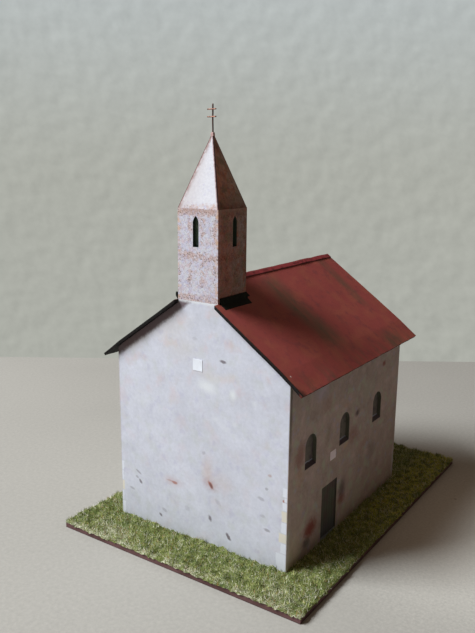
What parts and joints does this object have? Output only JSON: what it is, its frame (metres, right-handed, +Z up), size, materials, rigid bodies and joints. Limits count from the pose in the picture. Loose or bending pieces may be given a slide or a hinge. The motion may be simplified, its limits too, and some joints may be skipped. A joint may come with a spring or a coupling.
{
  "type": "card scale model of a church",
  "caption": "Tabletop card model of a small Romanesque church: gabled nave, square tower with a pyramid spire and a double-barred cross, on a flocked base board.",
  "frame": {"origin": "centre of the base board's underside", "axes": "+X to the side with the door, +Y from the gabled front to the back, +Z up to the cross"},
  "size_m": [0.105, 0.148, 0.1599],
  "materials": {
    "board": "painted reddish-brown hardboard edge",
    "turf": "static grass fibres, olive and straw",
    "wall_print": "matt printed card, pale plaster",
    "door_print": "matt printed card, dark grey-green",
    "threshold_paper": "matt paper strip",
    "dark_card": "matt dark card",
    "roof_core": "matt dark painted card",
    "roof_paper": "satin printed paper, red-brown",
    "ridge_paper": "satin printed paper, red",
    "tower_print": "matt printed card, pale rubble stone",
    "flashing_paper": "matt dark paper",
    "bare_paper": "bare white paper",
    "copper_wire": "tarnished coppery wire"
  },
  "bodies": {
    "root": {"base_board": "board", "turf_front": "turf", "turf_back": "turf", "turf_left": "turf", "turf_right": "turf", "front_wall": "wall_print", "back_wall": "wall_print", "left_wall": "wall_print", "right_wall": "wall_print", "door_panel": "door_print", "door_threshold": "threshold_paper", "roof_core_left": "roof_core", "roof_core_right": "roof_core", "roof_paper_left": "roof_paper", "roof_paper_right": "roof_paper", "ridge_strip": "ridge_paper", "tower_front": "tower_print", "tower_back": "tower_print", "tower_left": "tower_print", "tower_right": "tower_print", "tower_lining": "dark_card", "flashing_left": "flashing_paper", "flashing_right": "flashing_paper", "flashing_back": "flashing_paper", "spire_front": "tower_print", "spire_back": "tower_print", "spire_left": "tower_print", "spire_right": "tower_print", "spire_tip": "bare_paper", "cross_upright": "copper_wire", "cross_arm_upper": "copper_wire", "cross_arm_lower": "copper_wire", "paper_patch_front": "bare_paper", "paper_patch_right": "bare_paper", "left_window_1": "dark_card", "left_window_2": "dark_card", "left_window_3": "dark_card", "right_window_1": "dark_card", "right_window_2": "dark_card", "right_window_3": "dark_card"}
  },
  "joints": []
}
